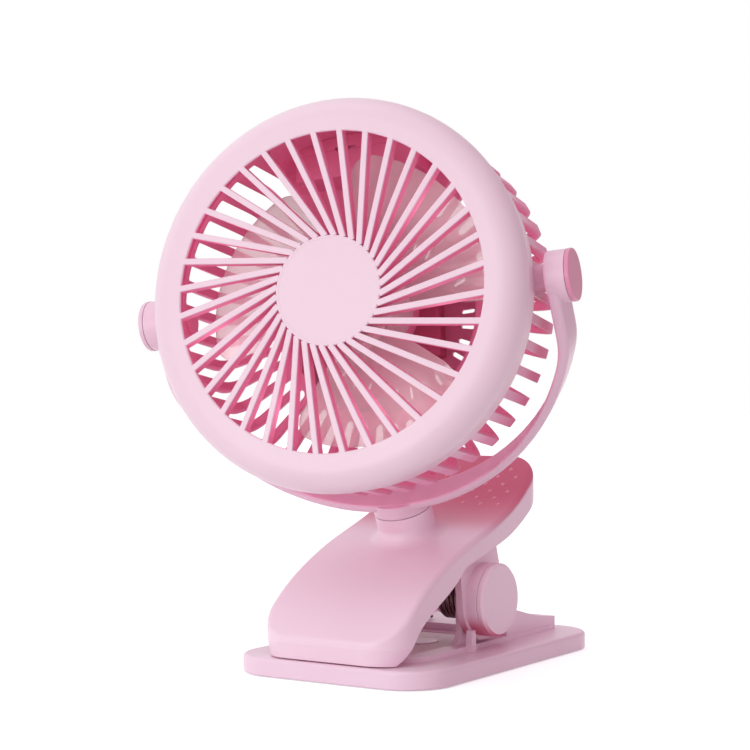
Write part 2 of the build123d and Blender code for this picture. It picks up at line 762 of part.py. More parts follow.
knob_pieces = []
for side, name in ((-1, "left"), (1, "right")):
    with BuildPart() as knob_cap:
        with BuildSketch(knob_plane.offset(side * (yoke_boss_outer + knob_seam))):
            Circle(knob_radius)
        extrude(amount=side * (knob_outer - yoke_boss_outer - knob_seam))
        outer_face = knob_cap.faces().sort_by(Axis((0, 0, 0), knob_axis))[-1 if side > 0 else 0]
        fillet(outer_face.edges(), knob_round)
        with BuildSketch(knob_plane.offset(side * (yoke_boss_outer + knob_seam))):
            Circle(counterbore_radius - face_gap)
            Circle(counterbore_radius - knob_plug_wall, mode=Mode.SUBTRACT)
        extrude(amount=-side * knob_plug_depth)
    knob_cap.part.label = f"knob_cap_{name}"
    washer_inner = journal_end + face_gap
    screw_seat = washer_inner + pivot_washer_thickness + face_gap / 2
    with BuildPart() as pivot_washer:
        with BuildSketch(knob_plane.offset(side * washer_inner)):
            Circle(pivot_washer_radius)
            Circle(pivot_screw_shank + face_gap, mode=Mode.SUBTRACT)
        extrude(amount=side * pivot_washer_thickness)
    pivot_washer.part.label = f"pivot_washer_{name}"
    with BuildPart() as pivot_screw:
        with BuildSketch(knob_plane.offset(side * screw_seat)):
            Circle(pivot_screw_head[0])
        extrude(amount=side * pivot_screw_head[1])
        with BuildSketch(knob_plane.offset(side * (screw_seat + pivot_screw_head[1]))):
            Rectangle(2.8, 0.7)
            Rectangle(0.7, 2.8)
        extrude(amount=-side, mode=Mode.SUBTRACT)
        with BuildSketch(knob_plane.offset(side * (screw_seat + 0.4))):
            Circle(pivot_screw_shank)
        extrude(amount=-side * (pivot_screw_reach + 0.4))
    pivot_screw.part.label = f"pivot_screw_{name}"
    knob_pieces += [knob_cap.part, pivot_washer.part, pivot_screw.part]

# ================================================================ front grille
# Turned pieces of the head are drawn with x as the radius and y as the depth.
turning_plane = Plane(origin=tilt_centre, x_dir=knob_axis, z_dir=knob_axis.cross(head_front))
head_axis = Axis(tilt_centre, head_front)


def nearest(vertices, radius, depth):
    return vertices.sort_by_distance(Vertex(radius, depth, 0))[0]


with BuildSketch() as ring_profile:
    with BuildLine():
        lip_radius = opening_radius + lip_width
        Polyline(
            (ring_rear_radius, seam_depth),
            (ring_radius, front_plane - ring_round),
            (ring_radius, front_plane),
            (opening_radius, front_plane),
            (opening_radius, front_plane - lip_depth),
            (lip_radius, front_plane - lip_depth),
            (lip_radius, front_plane - ring_wall),
            (ring_radius - ring_wall, front_plane - ring_wall),
            (ring_radius - ring_wall, front_plane - ring_round),
            (ring_rear_radius - ring_wall, seam_depth),
            close=True,
        )
    make_face()
    fillet(nearest(ring_profile.vertices(), ring_radius, front_plane), ring_round - 0.1)
    inner_corner = nearest(ring_profile.vertices(), ring_radius - ring_wall, front_plane - ring_wall)
    fillet(inner_corner, ring_round - ring_wall - 0.1)
    fillet(nearest(ring_profile.vertices(), opening_radius, front_plane), 0.6)

with BuildSketch() as hub_profile:
    with BuildLine():
        disc_seat = hub_disc_radius + running_gap
        Polyline(
            (0, front_plane - hub_depth),
            (hub_radius, front_plane - hub_depth),
            (hub_radius, front_plane),
            (disc_seat, front_plane),
            (disc_seat, front_plane - hub_recess),
            (0, front_plane - hub_recess),
            close=True,
        )
    make_face()
    fillet(nearest(hub_profile.vertices(), hub_radius, front_plane), 0.5)

with BuildPart() as spoke:
    spoke_start = sqrt((disc_seat + face_gap) ** 2 - (spoke_offset - spoke_width / 2) ** 2)
    spoke_end = sqrt((lip_radius - 0.8) ** 2 - spoke_offset ** 2)
    with BuildSketch(Plane.YZ.offset(spoke_start)):
        with Locations((-spoke_offset, front_plane - spoke_depth / 2)):
            Rectangle(spoke_width, spoke_depth)
    extrude(amount=spoke_end - spoke_start)
    fillet(spoke.faces().sort_by(Axis.Z)[-1].edges().filter_by(Axis.X), spoke_edge_round)

with BuildPart() as front_grille:
    revolve(ring_profile.sketch.moved(turning_plane.location), axis=head_axis)
    revolve(hub_profile.sketch.moved(turning_plane.location), axis=head_axis)
    add([spoke.part.moved(head_turn(spoke_phase + 360 * i / spoke_count)) for i in range(spoke_count)])
front_grille.part.label = "front_grille"

with BuildPart() as hub_disc:
    with BuildSketch(head_plane.offset(front_plane - hub_recess + face_gap / 2)):
        Circle(hub_disc_radius)
    extrude(amount=hub_recess - face_gap)
    chamfer(hub_disc.faces().sort_by(Axis((0, 0, 0), head_front))[-1].edges(), 0.15)
hub_disc.part.label = "hub_disc"

# ================================================================ rear shell
slot_half = 180 * slot_share / slot_pitches
slot_half_width = shell_radius * tan(radians(slot_half))
slot_round_centre = slot_inner_radius / (1 - sin(radians(slot_half)))
slot_reach = shell_radius + 6

slot_cutters = []
for front in (slot_front, slot_front_at_pivot):
    with BuildPart() as slot_cutter:
        with BuildSketch(Plane.XY.offset(-shell_rear - 2)):
            with BuildLine():
                touch = slot_round_centre * cos(radians(slot_half))
                Polyline(
                    ring_point(touch, slot_half),
                    ring_point(slot_reach, slot_half),
                    ring_point(slot_reach, -slot_half),
                    ring_point(touch, -slot_half),
                    close=True,
                )
            make_face()
            with Locations((slot_round_centre, 0)):
                Circle(slot_round_centre * sin(radians(slot_half)))
        extrude(amount=front + shell_rear + 2)
        with BuildSketch(Plane.YZ) as slot_end:
            with Locations((0, front)):
                Rectangle(2 * slot_half_width, front + shell_rear + 3, align=(Align.CENTER, Align.MAX))
            fillet(slot_end.vertices().group_by(Axis.Y)[-1], slot_end_round)
        extrude(amount=slot_reach + 5, mode=Mode.INTERSECT)
    slot_cutters.append(slot_cutter.part)

with BuildSketch() as shell_profile:
    with BuildLine():
        shell_front = seam_depth - seam_gap
        Polyline(
            (shell_rim_radius, shell_front),
            (shell_radius, -shell_rear),
            (pod_radius, -shell_rear),
            (pod_tip_radius, -pod_rear),
            (pod_tip_radius - pod_wall, -pod_rear),
            (pod_radius - pod_wall, shell_wall - shell_rear),
            (shell_radius - shell_wall, shell_wall - shell_rear),
            (shell_rim_radius - shell_wall, spigot_root - 1),
            (spigot_radius - spigot_wall, spigot_root),
            (spigot_radius - spigot_wall, spigot_front),
            (spigot_radius, spigot_front),
            (spigot_radius, shell_front),
            close=True,
        )
    make_face()
    fillet(nearest(shell_profile.vertices(), shell_radius, -shell_rear), shell_round)
    inner_corner = nearest(shell_profile.vertices(), shell_radius - shell_wall, shell_wall - shell_rear)
    fillet(inner_corner, shell_round - shell_wall)
    fillet(nearest(shell_profile.vertices(), pod_radius, -shell_rear), 1.0)

mount_seat = motor_front - motor_length - mount_plate - mount_floor_gap
boss_circle = PolarLocations(mount_screw_circle, mount_arms, start_angle=mount_arm_phase)
box_bottom = shell_radius - box_inset
control_middle = box_bottom + box_height / 2

with BuildPart() as rear_shell:
    revolve(shell_profile.sketch.moved(turning_plane.location), axis=head_axis)
    cuts = []
    for i in range(slot_pitches - slots_left_out):
        angle = 90 + 360 / slot_pitches * (slots_left_out / 2 + 0.5 + i)
        from_pivot = abs((angle + 90) % 180 - 90)
        cutter = slot_cutters[1 if from_pivot < slots_at_pivot else 0]
        cuts.append(cutter.moved(head_turn(angle)))
    add(cuts, mode=Mode.SUBTRACT)
    # pivot stubs with journals and pilot holes
    for side in (-1, 1):
        with BuildSketch(knob_plane.offset(side * stub_root)):
            Circle(stub_radius)
        extrude(amount=side * (stub_end - stub_root))
        with BuildSketch(knob_plane.offset(side * stub_end)):
            Circle(journal_radius)
        extrude(amount=side * (journal_end - stub_end))
        with BuildSketch(knob_plane.offset(side * journal_end)):
            Circle(pivot_screw_shank + press_gap)
        extrude(amount=-side * (pivot_screw_reach + 0.5), mode=Mode.SUBTRACT)
    # screw bosses inside the pod
    with BuildSketch(head_plane.offset(mount_seat)):
        with boss_circle:
            Circle(mount_boss_radius)
        with PolarLocations(mount_screw_circle + mount_boss_radius / 2 + 0.3, mount_arms, mount_arm_phase):
            Rectangle(mount_boss_radius + 0.6, 2 * mount_boss_radius)
    extrude(amount=-mount_boss_height)
    with BuildSketch(head_plane.offset(mount_seat)):
        with boss_circle:
            Circle(mount_screw_shank + press_gap)
    extrude(amount=-mount_screw_reach - 1, mode=Mode.SUBTRACT)
    # openings for the button, the charging inlet and the light
    with BuildSketch(head_plane.offset(-shell_rear - 1)):
        with Locations((0, control_middle)):
            Circle(button_radius + moving_gap / 2)
        with Locations((inlet_side, control_middle)):
            SlotOverall(inlet_size[0] + 2 * face_gap, inlet_size[1] + 2 * face_gap)
        with Locations((light_side, control_middle)):
            Circle(light_radius + running_gap)
    extrude(amount=shell_wall + 2, mode=Mode.SUBTRACT)
rear_shell.part.label = "rear_shell"

with BuildSketch() as cap_profile:
    with BuildLine():
        cap_front = -pod_rear - face_gap
        plug_radius = pod_tip_radius - pod_wall - face_gap
        Polyline(
            (0, cap_front),
            (plug_radius - 1.6, cap_front),
            (plug_radius - 1.6, cap_front + 2.4),
            (plug_radius, cap_front + 2.4),
            (plug_radius, cap_front),
            (pod_tip_radius, cap_front),
            (pod_tip_radius, cap_front - cap_thickness),
            (0, cap_front - cap_thickness),
            close=True,
        )
    make_face()
    fillet(nearest(cap_profile.vertices(), pod_tip_radius, cap_front - cap_thickness), cap_round)

with BuildPart() as rear_cap:
    revolve(cap_profile.sketch.moved(turning_plane.location), axis=head_axis)
    with BuildSketch(head_plane.offset(cap_front + 1)):
        with PolarLocations(pod_tip_radius - vent_rim - vent_length / 2, vent_count, vent_phase):
            SlotOverall(vent_length, vent_width)
    extrude(amount=-cap_thickness - 2, mode=Mode.SUBTRACT)
rear_cap.part.label = "rear_cap"

with BuildPart() as battery_cell:
    with BuildSketch(head_plane.offset(cap_front + face_gap)):
        Rectangle(cell_size[0], cell_size[1])
    extrude(amount=cell_size[2])
    fillet(battery_cell.edges().filter_by(Axis((0, 0, 0), head_plane.y_dir)), 1.5)
battery_cell.part.label = "battery_cell"

# ================================================================ motor
with BuildPart() as motor_mount:
    plate_front = mount_seat + face_gap + mount_plate
    with BuildSketch(head_plane.offset(mount_seat + face_gap)):
        Circle(mount_radius)
        with PolarLocations(mount_screw_circle / 2, mount_arms, mount_arm_phase):
            Rectangle(mount_screw_circle, mount_arm_width)
        with boss_circle:
            Circle(mount_arm_width / 2)
        with boss_circle:
            Circle(mount_screw_shank + 2 * face_gap, mode=Mode.SUBTRACT)
    extrude(amount=mount_plate)
    with BuildSketch(head_plane.offset(plate_front)):
        Circle(mount_radius)
        Circle(motor_radius + press_gap, mode=Mode.SUBTRACT)
    extrude(amount=mount_front - plate_front)
motor_mount.part.label = "motor_mount"

mount_screws = []
for i in range(mount_arms):
    screw_angle = mount_arm_phase + 360 * i / mount_arms
    spot = head_plane.from_local_coords(ring_point(mount_screw_circle, screw_angle))
    screw_plane = Plane(origin=spot, x_dir=knob_axis, z_dir=head_front).offset(plate_front + face_gap / 2)
    with BuildPart() as mount_screw:
        with BuildSketch(screw_plane):
            Circle(mount_screw_head[0])
        extrude(amount=mount_screw_head[1])
        with BuildSketch(screw_plane.offset(mount_screw_head[1])):
            Rectangle(2.0, 0.5)
            Rectangle(0.5, 2.0)
        extrude(amount=-0.8, mode=Mode.SUBTRACT)
        with BuildSketch(screw_plane.offset(0.3)):
            Circle(mount_screw_shank)
        extrude(amount=-mount_plate - mount_screw_reach)
    mount_screw.part.label = f"mount_screw_{i + 1}"
    mount_screws.append(mount_screw.part)

with BuildPart() as motor_can:
    motor_rear = motor_front - motor_length
    with BuildSketch(head_plane.offset(motor_rear)):
        Circle(motor_radius)
    extrude(amount=motor_length)
    chamfer(motor_can.faces().sort_by(Axis((0, 0, 0), head_front))[-1].edges(), 0.8)
    with BuildSketch(head_plane.offset(motor_front)):
        Circle(motor_boss_radius)
    extrude(amount=motor_boss_height)
    with BuildSketch(head_plane.offset(motor_front + motor_boss_height)):
        Circle(shaft_radius + running_gap)
    extrude(amount=shaft_rear - motor_front - motor_boss_height - face_gap, mode=Mode.SUBTRACT)
motor_can.part.label = "motor_can"

with BuildPart() as motor_shaft:
    with BuildSketch(head_plane.offset(shaft_rear)):
        Circle(shaft_radius)
    extrude(amount=shaft_front - shaft_rear)
motor_shaft.part.label = "motor_shaft"

# ================================================================ impeller
with BuildSketch() as cup_profile:
    with BuildLine():
        cup_inside = impeller_hub_radius - impeller_hub_wall
        boss_rear = motor_front + motor_boss_height + 0.6
        Polyline(
            (0, impeller_hub_front),
            (impeller_hub_radius, impeller_hub_front),
            (impeller_hub_radius, impeller_hub_rear),
            (cup_inside, impeller_hub_rear),
            (cup_inside, impeller_hub_front - impeller_hub_wall),
            (impeller_boss_radius, impeller_hub_front - impeller_hub_wall),
            (impeller_boss_radius, boss_rear),
            (shaft_radius + press_gap, boss_rear),
            (shaft_radius + press_gap, shaft_front + face_gap),
            (0, shaft_front + face_gap),
            close=True,
        )
    make_face()
    fillet(nearest(cup_profile.vertices(), impeller_hub_radius, impeller_hub_front), impeller_hub_round)
    inner_corner = nearest(cup_profile.vertices(), cup_inside, impeller_hub_front - impeller_hub_wall)
    fillet(inner_corner, impeller_hub_round - impeller_hub_wall)

blade_half = blade_span / 2
blade_grid = []
for i in range(5):
    radius = cup_inside + 0.5 + (blade_tip + 2 - cup_inside - 0.5) * i / 4
    line = []
    for j in range(-6, 7):
        share = j / 6 * (blade_half + 3) / blade_half
        line.append((*ring_point(radius, share * blade_half), share * blade_rise))
    blade_grid.append(line)

with BuildPart() as blade:
    thicken(Face.make_surface_from_array_of_points(blade_grid), amount=blade_thickness / 2, both=True)
    with BuildSketch(Plane.XY.offset(-3 * blade_rise)) as blade_plan:
        with BuildLine():
            Polyline(
                (0, 0),
                ring_point(2 * blade_tip, blade_half),
                (4 * blade_tip, 0),
                ring_point(2 * blade_tip, -blade_half),
                close=True,
            )
        make_face()
        Circle(blade_tip, mode=Mode.INTERSECT)
        tip_corners = blade_plan.vertices().sort_by(Axis.X)[1:]
        fillet(tip_corners, blade_corner)
    extrude(amount=6 * blade_rise, mode=Mode.INTERSECT)
    with BuildSketch(Plane.XY.offset(-3 * blade_rise)):
        Circle(cup_inside + 0.8)
    extrude(amount=6 * blade_rise, mode=Mode.SUBTRACT)

with BuildPart() as impeller:
    revolve(cup_profile.sketch.moved(turning_plane.location), axis=head_axis)
    add([blade.part.moved(head_turn(blade_phase + 360 * i / blade_count)) for i in range(blade_count)])
impeller.part.label = "impeller"

# ================================================================ controls
wall_inside = shell_wall - shell_rear + face_gap
with BuildSketch() as room_profile:
    with BuildLine():
        room_radius = shell_radius - shell_wall - moving_gap
        Polyline((0, 0), (room_radius, 0), (room_radius, wall_inside), (0, wall_inside), close=True)
    make_face()
    fillet(nearest(room_profile.vertices(), room_radius, wall_inside), shell_round - shell_wall)

with BuildPart() as shell_room:
    revolve(room_profile.sketch.moved(turning_plane.location), axis=head_axis)

brow_bottom = box_bottom + box_height - box_wall
with BuildPart() as control_box:
    with BuildSketch(head_plane.offset(box_front)):
        with Locations((0, box_bottom)):
            Rectangle(2 * box_half_width, room_radius - box_bottom, align=(Align.CENTER, Align.MIN))
    extrude(amount=wall_inside - box_front)
    with BuildSketch(head_plane.offset(box_front)):
        with Locations((0, brow_bottom)):
            Rectangle(2 * box_half_width, room_radius - brow_bottom, align=(Align.CENTER, Align.MIN))
    extrude(amount=brow_rise)
    add(shell_room.part, mode=Mode.INTERSECT)
    with BuildSketch(head_plane.offset(box_front + brow_rise)):
        with Locations((brow_vent_side, brow_bottom + brow_vent_size[1] / 2 - face_gap)):
            with GridLocations(brow_vent_pitch, 1, brow_vents, 1):
                Rectangle(*brow_vent_size)
    extrude(amount=-2 * brow_rise, mode=Mode.SUBTRACT)
    with BuildSketch(head_plane.offset(box_front - box_wall)):
        with Locations((0, control_middle)):
            Rectangle(2 * (box_half_width - box_wall), box_height - 2 * box_wall)
    extrude(amount=wall_inside - box_front, mode=Mode.SUBTRACT)
control_box.part.label = "control_box"

board_inset = box_wall + face_gap
with BuildPart() as control_board:
    with BuildSketch(head_plane.offset(board_rear)):
        with Locations((0, control_middle)):
            Rectangle(2 * (box_half_width - board_inset), box_height - 2 * board_inset)
    extrude(amount=board_thickness)
control_board.part.label = "control_board"

with BuildPart() as tact_switch:
    switch_seat = board_rear - face_gap / 2
    with BuildSketch(head_plane.offset(switch_seat)):
        with Locations((0, control_middle)):
            Rectangle(switch_size, switch_size)
    extrude(amount=-switch_height)
    with BuildSketch(head_plane.offset(switch_seat - switch_height)):
        with Locations((0, control_middle)):
            Circle(plunger_radius)
    extrude(amount=-plunger_height)
tact_switch.part.label = "tact_switch"

with BuildPart() as power_button:
    with BuildSketch(head_plane.offset(-shell_rear - button_proud)):
        with Locations((0, control_middle)):
            Circle(button_radius)
    extrude(amount=button_proud + shell_wall + 0.4)
    fillet(power_button.faces().sort_by(Axis((0, 0, 0), head_front))[0].edges(), 0.6)
    with BuildSketch(head_plane.offset(wall_inside)):
        with Locations((0, control_middle)):
            Circle(button_radius + button_flange)
    extrude(amount=button_flange_thickness)
power_button.part.label = "power_button"

with BuildPart() as usb_inlet:
    with BuildSketch(head_plane.offset(-shell_rear + face_gap)):
        with Locations((inlet_side, control_middle)):
            SlotOverall(*inlet_size)
    extrude(amount=switch_seat + shell_rear - face_gap)
    with BuildSketch(head_plane.offset(-shell_rear + face_gap)):
        with Locations((inlet_side, control_middle)):
            SlotOverall(inlet_size[0] - 2 * inlet_wall, inlet_size[1] - 2 * inlet_wall)
            Rectangle(inlet_size[0] * 0.62, 0.7, mode=Mode.SUBTRACT)
    extrude(amount=switch_seat + shell_rear - face_gap - 1.2, mode=Mode.SUBTRACT)
usb_inlet.part.label = "usb_inlet"

with BuildPart() as status_light:
    with BuildSketch(head_plane.offset(-shell_rear + face_gap)):
        with Locations((light_side, control_middle)):
            Circle(light_radius)
    extrude(amount=switch_seat + shell_rear - face_gap)
status_light.part.label = "status_light"

pieces = [
    base_plate, base_pad, sole_pad, clip_pin, spring_sleeve, upper_jaw,
    yoke, neck_washer, neck_screw,
    front_grille, hub_disc, rear_shell, rear_cap, battery_cell,
    motor_mount, motor_can, motor_shaft, impeller,
    control_box, control_board, tact_switch, power_button, usb_inlet, status_light,
]
for builder in pieces:
    export_step(builder.part, f"parts/{builder.part.label}.step")
for solid in list(clip_caps.values()) + list(springs.values()) + knob_pieces + mount_screws:
    export_step(solid, f"parts/{solid.label}.step")
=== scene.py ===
import json
from math import atan2, cos, radians, sin

import bpy
from mathutils import Matrix, Vector


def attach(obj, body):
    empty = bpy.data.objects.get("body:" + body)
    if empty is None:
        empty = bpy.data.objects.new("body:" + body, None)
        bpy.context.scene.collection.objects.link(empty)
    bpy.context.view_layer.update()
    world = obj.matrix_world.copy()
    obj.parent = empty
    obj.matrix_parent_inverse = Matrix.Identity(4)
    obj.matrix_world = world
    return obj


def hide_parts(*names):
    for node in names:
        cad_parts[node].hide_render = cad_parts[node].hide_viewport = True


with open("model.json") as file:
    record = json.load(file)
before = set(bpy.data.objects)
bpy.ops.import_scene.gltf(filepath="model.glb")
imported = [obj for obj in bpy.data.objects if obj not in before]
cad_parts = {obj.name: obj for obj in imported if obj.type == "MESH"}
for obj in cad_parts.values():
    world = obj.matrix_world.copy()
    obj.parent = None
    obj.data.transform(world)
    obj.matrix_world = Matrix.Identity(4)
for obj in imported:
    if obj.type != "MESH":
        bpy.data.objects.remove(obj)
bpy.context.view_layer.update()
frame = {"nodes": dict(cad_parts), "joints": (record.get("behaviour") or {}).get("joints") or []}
nodes = frame["nodes"]
joints = {joint["name"]: joint for joint in frame["joints"]}
print("frame loaded,", len(nodes), "nodes")

# the head's and the yoke's own axes, from the joints
tiltCentre = Vector(joints["head_tilt"]["pos_m"])
knobAxis = Vector(joints["head_tilt"]["axis"])
headFront = Vector(joints["impeller_spin"]["axis"])
neckAxis = Vector(joints["yoke_swivel"]["axis"])


def framePlace(xAxis, yAxis, origin):
    turned = Matrix((xAxis, yAxis, xAxis.cross(yAxis))).transposed()
    return Matrix.Translation(origin) @ turned.to_4x4()


headPlace = framePlace(knobAxis, headFront.cross(knobAxis), tiltCentre)
yokePlace = framePlace(knobAxis, neckAxis, tiltCentre)


# what the shader trees are put together from
def newGroup(name, inputs, outputs):
    group = bpy.data.node_groups.new(name, "ShaderNodeTree")
    for label, value in inputs.items():
        kind = "NodeSocketFloat" if isinstance(value, float) else "NodeSocketColor"
        socket = group.interface.new_socket(label, in_out="INPUT", socket_type=kind)
        socket.default_value = value
    for label, kind in outputs.items():
        group.interface.new_socket(label, in_out="OUTPUT", socket_type=f"NodeSocket{kind}")
    groupIn = group.nodes.new("NodeGroupInput").outputs
    groupOut = group.nodes.new("NodeGroupOutput").inputs
    return group, groupIn, groupOut


def addNode(tree, kind, **values):
    node = tree.nodes.new(kind)
    for key, value in values.items():
        setattr(node, key, value)
    return node


def feed(tree, socket, value):
    if isinstance(value, bpy.types.NodeSocket):
        tree.links.new(value, socket)
    elif socket.type == "RGBA":
        socket.default_value = (*value[:3], 1)
    else:
        socket.default_value = value


def doMath(tree, operation, first, second=0.0):
    node = addNode(tree, "ShaderNodeMath", operation=operation)
    feed(tree, node.inputs[0], first)
    feed(tree, node.inputs[1], second)
    return node.outputs[0]


def softStep(tree, value, low, high, start=0.0, end=1.0):
    node = addNode(tree, "ShaderNodeMapRange", interpolation_type="SMOOTHSTEP")
    amounts = {"Value": value, "From Min": low, "From Max": high, "To Min": start, "To Max": end}
    for label, amount in amounts.items():
        feed(tree, node.inputs[label], amount)
    return node.outputs["Result"]


def mixColour(tree, factor, first, second, blend="MIX"):
    node = addNode(tree, "ShaderNodeMix", data_type="RGBA", blend_type=blend)
    sockets = {socket.identifier: socket for socket in node.inputs}
    for label, value in (("Factor_Float", factor), ("A_Color", first), ("B_Color", second)):
        feed(tree, sockets[label], value)
    return node.outputs["Result"]


def noise(tree, place, scale, detail=2.0):
    node = addNode(tree, "ShaderNodeTexNoise")
    for label, value in (("Vector", place), ("Scale", scale), ("Detail", detail)):
        feed(tree, node.inputs[label], value)
    return node.outputs["Fac"]


def localPlace(tree, place):
    # Object coordinates along a tilted or turned piece's own axes
    turn = addNode(tree, "ShaderNodeMapping", vector_type="TEXTURE")
    feed(tree, turn.inputs["Vector"], addNode(tree, "ShaderNodeTexCoord").outputs["Object"])
    feed(tree, turn.inputs["Location"], place.to_translation())
    feed(tree, turn.inputs["Rotation"], place.to_euler())
    apart = addNode(tree, "ShaderNodeSeparateXYZ")
    feed(tree, apart.inputs[0], turn.outputs[0])
    return apart.outputs


def flatLength(tree, first, second):
    squares = [doMath(tree, "MULTIPLY", value, value) for value in (first, second)]
    return doMath(tree, "SQRT", doMath(tree, "ADD", *squares))


# fine moulded surface: faint tone drift, matt patches, tiny specks and a low grain
skinSettings = {
    "drift scale": 28.0, "drift tint": (0.93, 0.82, 0.87), "drift span": (0.3, 0.7), "rough change": 0.04,
    "speck scale": 1500.0, "speck detail": 1.0, "speck span": (0.60, 0.68),
    "speck tint": (0.45, 0.42, 0.43),
    "grain detail": 3.0,
}
mouldSkin, skinIn, skinOut = newGroup(
    "mouldSkin",
    {"Colour": (0.8, 0.5, 0.6, 1), "Drift": 0.4, "Specks": 0.0, "Grain Scale": 2600.0, "Rough": 0.38},
    {"Colour": "Color", "Rough": "Float", "Height": "Float"},
)
skinSpot = addNode(mouldSkin, "ShaderNodeTexCoord").outputs["Object"]
drift = noise(mouldSkin, skinSpot, skinSettings["drift scale"])
driftTone = mixColour(mouldSkin, 1.0, skinIn["Colour"], skinSettings["drift tint"], "MULTIPLY")
driftAmount = doMath(mouldSkin, "MULTIPLY", drift, skinIn["Drift"])
drifted = mixColour(mouldSkin, driftAmount, skinIn["Colour"], driftTone)
specks = noise(mouldSkin, skinSpot, skinSettings["speck scale"], skinSettings["speck detail"])
speckMask = softStep(mouldSkin, specks, *skinSettings["speck span"])
speckAmount = doMath(mouldSkin, "MULTIPLY", speckMask, skinIn["Specks"])
speckTone = mixColour(mouldSkin, 1.0, drifted, skinSettings["speck tint"], "MULTIPLY")
feed(mouldSkin, skinOut["Colour"], mixColour(mouldSkin, speckAmount, drifted, speckTone))
grain = noise(mouldSkin, skinSpot, skinIn["Grain Scale"], skinSettings["grain detail"])
feed(mouldSkin, skinOut["Height"], grain)
roughChange = skinSettings["rough change"]
roughShift = softStep(mouldSkin, drift, *skinSettings["drift span"], -roughChange, roughChange)
feed(mouldSkin, skinOut["Rough"], doMath(mouldSkin, "ADD", roughShift, skinIn["Rough"]))

# painted shade for the head: how far a spot of the head lies below the outside of its moulding, as a mask
# from 0 to 1, so the recesses and the inside take a deeper pink
wallSettings = {
    "draft run": 0.0104,  # below the rounded edge, until the draft is full
    "rim shade depth": (-0.012, 0.001),  # behind the ring, along the head's axis
    "rim shade radius": (0.050, 0.060),
}
paintedWallShade, wallIn, wallOut = newGroup(
    "paintedWallShade",
    {
        "Side": 1.0,  # 1 for a front face, -1 for a rear one
        "Face": 0.0232,
        "Radius": 0.0656,
        "Round": 0.008,
        "Draft": 0.0,
        "Start": 0.0003,
        "End": 0.0009,
        "Hub": 0.0,  # no painted shade inside this radius
        "Rim Glow": 0.0,  # how strong the painted shade on the outside grows behind the ring
    },
    {"Mask": "Float"},
)
headX, headY, headZ = localPlace(paintedWallShade, headPlace)
spotRadius = flatLength(paintedWallShade, headX, headY)
faceward = doMath(paintedWallShade, "MULTIPLY", headZ, wallIn["Side"])
shoulder = doMath(paintedWallShade, "SUBTRACT", wallIn["Face"], wallIn["Round"])
belowShoulder = doMath(paintedWallShade, "SUBTRACT", shoulder, faceward)
draftShare = softStep(paintedWallShade, belowShoulder, 0.0, wallSettings["draft run"])
reach = doMath(paintedWallShade, "ADD", spotRadius, doMath(paintedWallShade, "MULTIPLY", draftShare, wallIn["Draft"]))
roundStart = doMath(paintedWallShade, "SUBTRACT", wallIn["Radius"], wallIn["Round"])
pastSide = doMath(paintedWallShade, "SUBTRACT", reach, roundStart)
pastFace = doMath(paintedWallShade, "SUBTRACT", faceward, shoulder)
corner = flatLength(
    paintedWallShade, doMath(paintedWallShade, "MAXIMUM", pastSide, 0.0), doMath(paintedWallShade, "MAXIMUM", pastFace, 0.0)
)
flatPart = doMath(paintedWallShade, "MINIMUM", doMath(paintedWallShade, "MAXIMUM", pastSide, pastFace), 0.0)
depth = doMath(paintedWallShade, "SUBTRACT", doMath(paintedWallShade, "SUBTRACT", wallIn["Round"], corner), flatPart)
outsideHub = doMath(paintedWallShade, "GREATER_THAN", spotRadius, wallIn["Hub"])
recessShade = softStep(paintedWallShade, depth, wallIn["Start"], wallIn["End"])
recessShade = doMath(paintedWallShade, "MULTIPLY", recessShade, outsideHub)
rimShade = softStep(paintedWallShade, headZ, *wallSettings["rim shade depth"], 1.0, 0.0)
for factor in (softStep(paintedWallShade, spotRadius, *wallSettings["rim shade radius"]), wallIn["Rim Glow"]):
    rimShade = doMath(paintedWallShade, "MULTIPLY", rimShade, factor)
feed(paintedWallShade, wallOut["Mask"], doMath(paintedWallShade, "MAXIMUM", recessShade, rimShade))

# painted shade: a hotter pink on the inner face of the yoke's strip
yokeFaceShade, yokeIn, yokeOut = newGroup(
    "yokeFaceShade",
    {"Inner Radius": 0.0722, "Inner Side": 0.0683, "Start": 0.0002, "End": 0.0010},
    {"Mask": "Float"},
)
yokeX, yokeY = localPlace(yokeFaceShade, yokePlace)[:2]
pastArc = doMath(yokeFaceShade, "SUBTRACT", flatLength(yokeFaceShade, yokeX, yokeY), yokeIn["Inner Radius"])
pastArm = doMath(yokeFaceShade, "SUBTRACT", doMath(yokeFaceShade, "ABSOLUTE", yokeX), yokeIn["Inner Side"])
pastInner = doMath(yokeFaceShade, "MAXIMUM", pastArc, pastArm)
feed(yokeFaceShade, yokeOut["Mask"], softStep(yokeFaceShade, pastInner, yokeIn["Start"], yokeIn["End"], 1.0, 0.0))

# painted shade on the clip: its undersides, and the top of the tail behind the neck, under the head
clipSettings = {
    "under facing": (-0.75, -0.25),  # the normal's upward part
    "tail facing": (0.1, 0.5),
    "tail along": (-0.012, 0.008),
    "tail height": (0.036, 0.058),
}
clipShade, clipIn, clipOut = newGroup(
    "clipShade", {"Tail Amount": 0.85, "Under Amount": 0.8}, {"Mask": "Float"}
)
clipCoord = addNode(clipShade, "ShaderNodeTexCoord").outputs
clipSpot = addNode(clipShade, "ShaderNodeSeparateXYZ")
feed(clipShade, clipSpot.inputs[0], clipCoord["Object"])
clipFacing = addNode(clipShade, "ShaderNodeSeparateXYZ")
feed(clipShade, clipFacing.inputs[0], clipCoord["Normal"])
under = softStep(clipShade, clipFacing.outputs["Z"], *clipSettings["under facing"], 1.0, 0.0)
under = doMath(clipShade, "MULTIPLY", under, clipIn["Under Amount"])
tail = softStep(clipShade, clipSpot.outputs["Y"], *clipSettings["tail along"])
tailHigh = softStep(clipShade, clipSpot.outputs["Z"], *clipSettings["tail height"])
